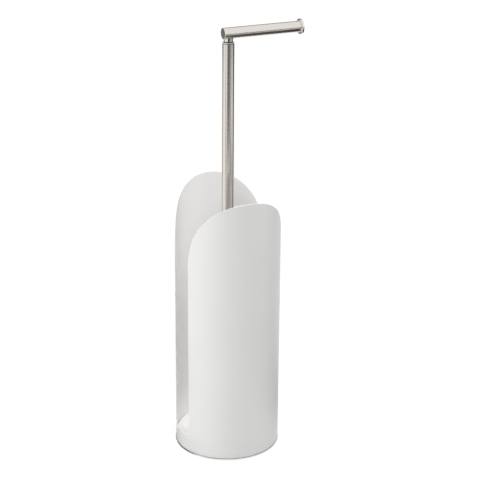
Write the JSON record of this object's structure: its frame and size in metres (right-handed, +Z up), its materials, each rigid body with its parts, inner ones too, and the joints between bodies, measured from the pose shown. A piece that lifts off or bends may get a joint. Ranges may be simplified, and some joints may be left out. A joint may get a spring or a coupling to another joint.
{
  "type": "toilet roll storage holder",
  "caption": "Free-standing toilet roll holder: round white shell with raised arched sides and finger slots for spare rolls on a pole, under a swivelling side arm.",
  "frame": {"origin": "centre of the foot pad's underside, on the pole's axis, at the ground", "axes": "+Z up along the pole; at rest the arm points along +X, the finger slots are on +X and -X and the raised sides on +Y and -Y"},
  "size_m": [0.1837, 0.1514, 0.622],
  "materials": {
    "pad": "matt solid rubber sheet",
    "rim_steel": "polished edge",
    "shell_paint": "satin white powder coat",
    "ballast": "black paint on casting",
    "floor_plastic": "fine moulded grain",
    "fastener": "zinc plated",
    "brushed_tube": "fine satin, brushed round the tube",
    "polished_steel": "polished",
    "bush_plastic": "dark nylon"
  },
  "bodies": {
    "stand": {"foot_pad": "pad", "base_plate": "rim_steel", "shell": "shell_paint", "ballast_disc": "ballast", "floor_cover": "floor_plastic", "shell_screws": "fastener", "pole_bolt": "fastener", "spring_washer": "fastener", "flat_washer": "fastener", "pole_foot_plug": "fastener", "pole_tube": "brushed_tube", "pole_collar": "floor_plastic", "pole_top_plug": "polished_steel"},
    "bush": {"swivel_bush": "bush_plastic"},
    "arm": {"arm_neck": "polished_steel", "snap_ring": "fastener", "arm_hub": "polished_steel", "arm_tube": "brushed_tube", "arm_end_stop": "polished_steel"}
  },
  "joints": [
    {"name": "arm_lift", "type": "slide", "parent": "stand", "child": "bush", "axis": [0, 0, 1], "range_m": [0, 0.04]},
    {"name": "arm_swivel", "type": "hinge", "parent": "bush", "child": "arm", "pos_m": [0, 0, 0.599], "axis": [0, 0, 1], "continuous": true}
  ]
}
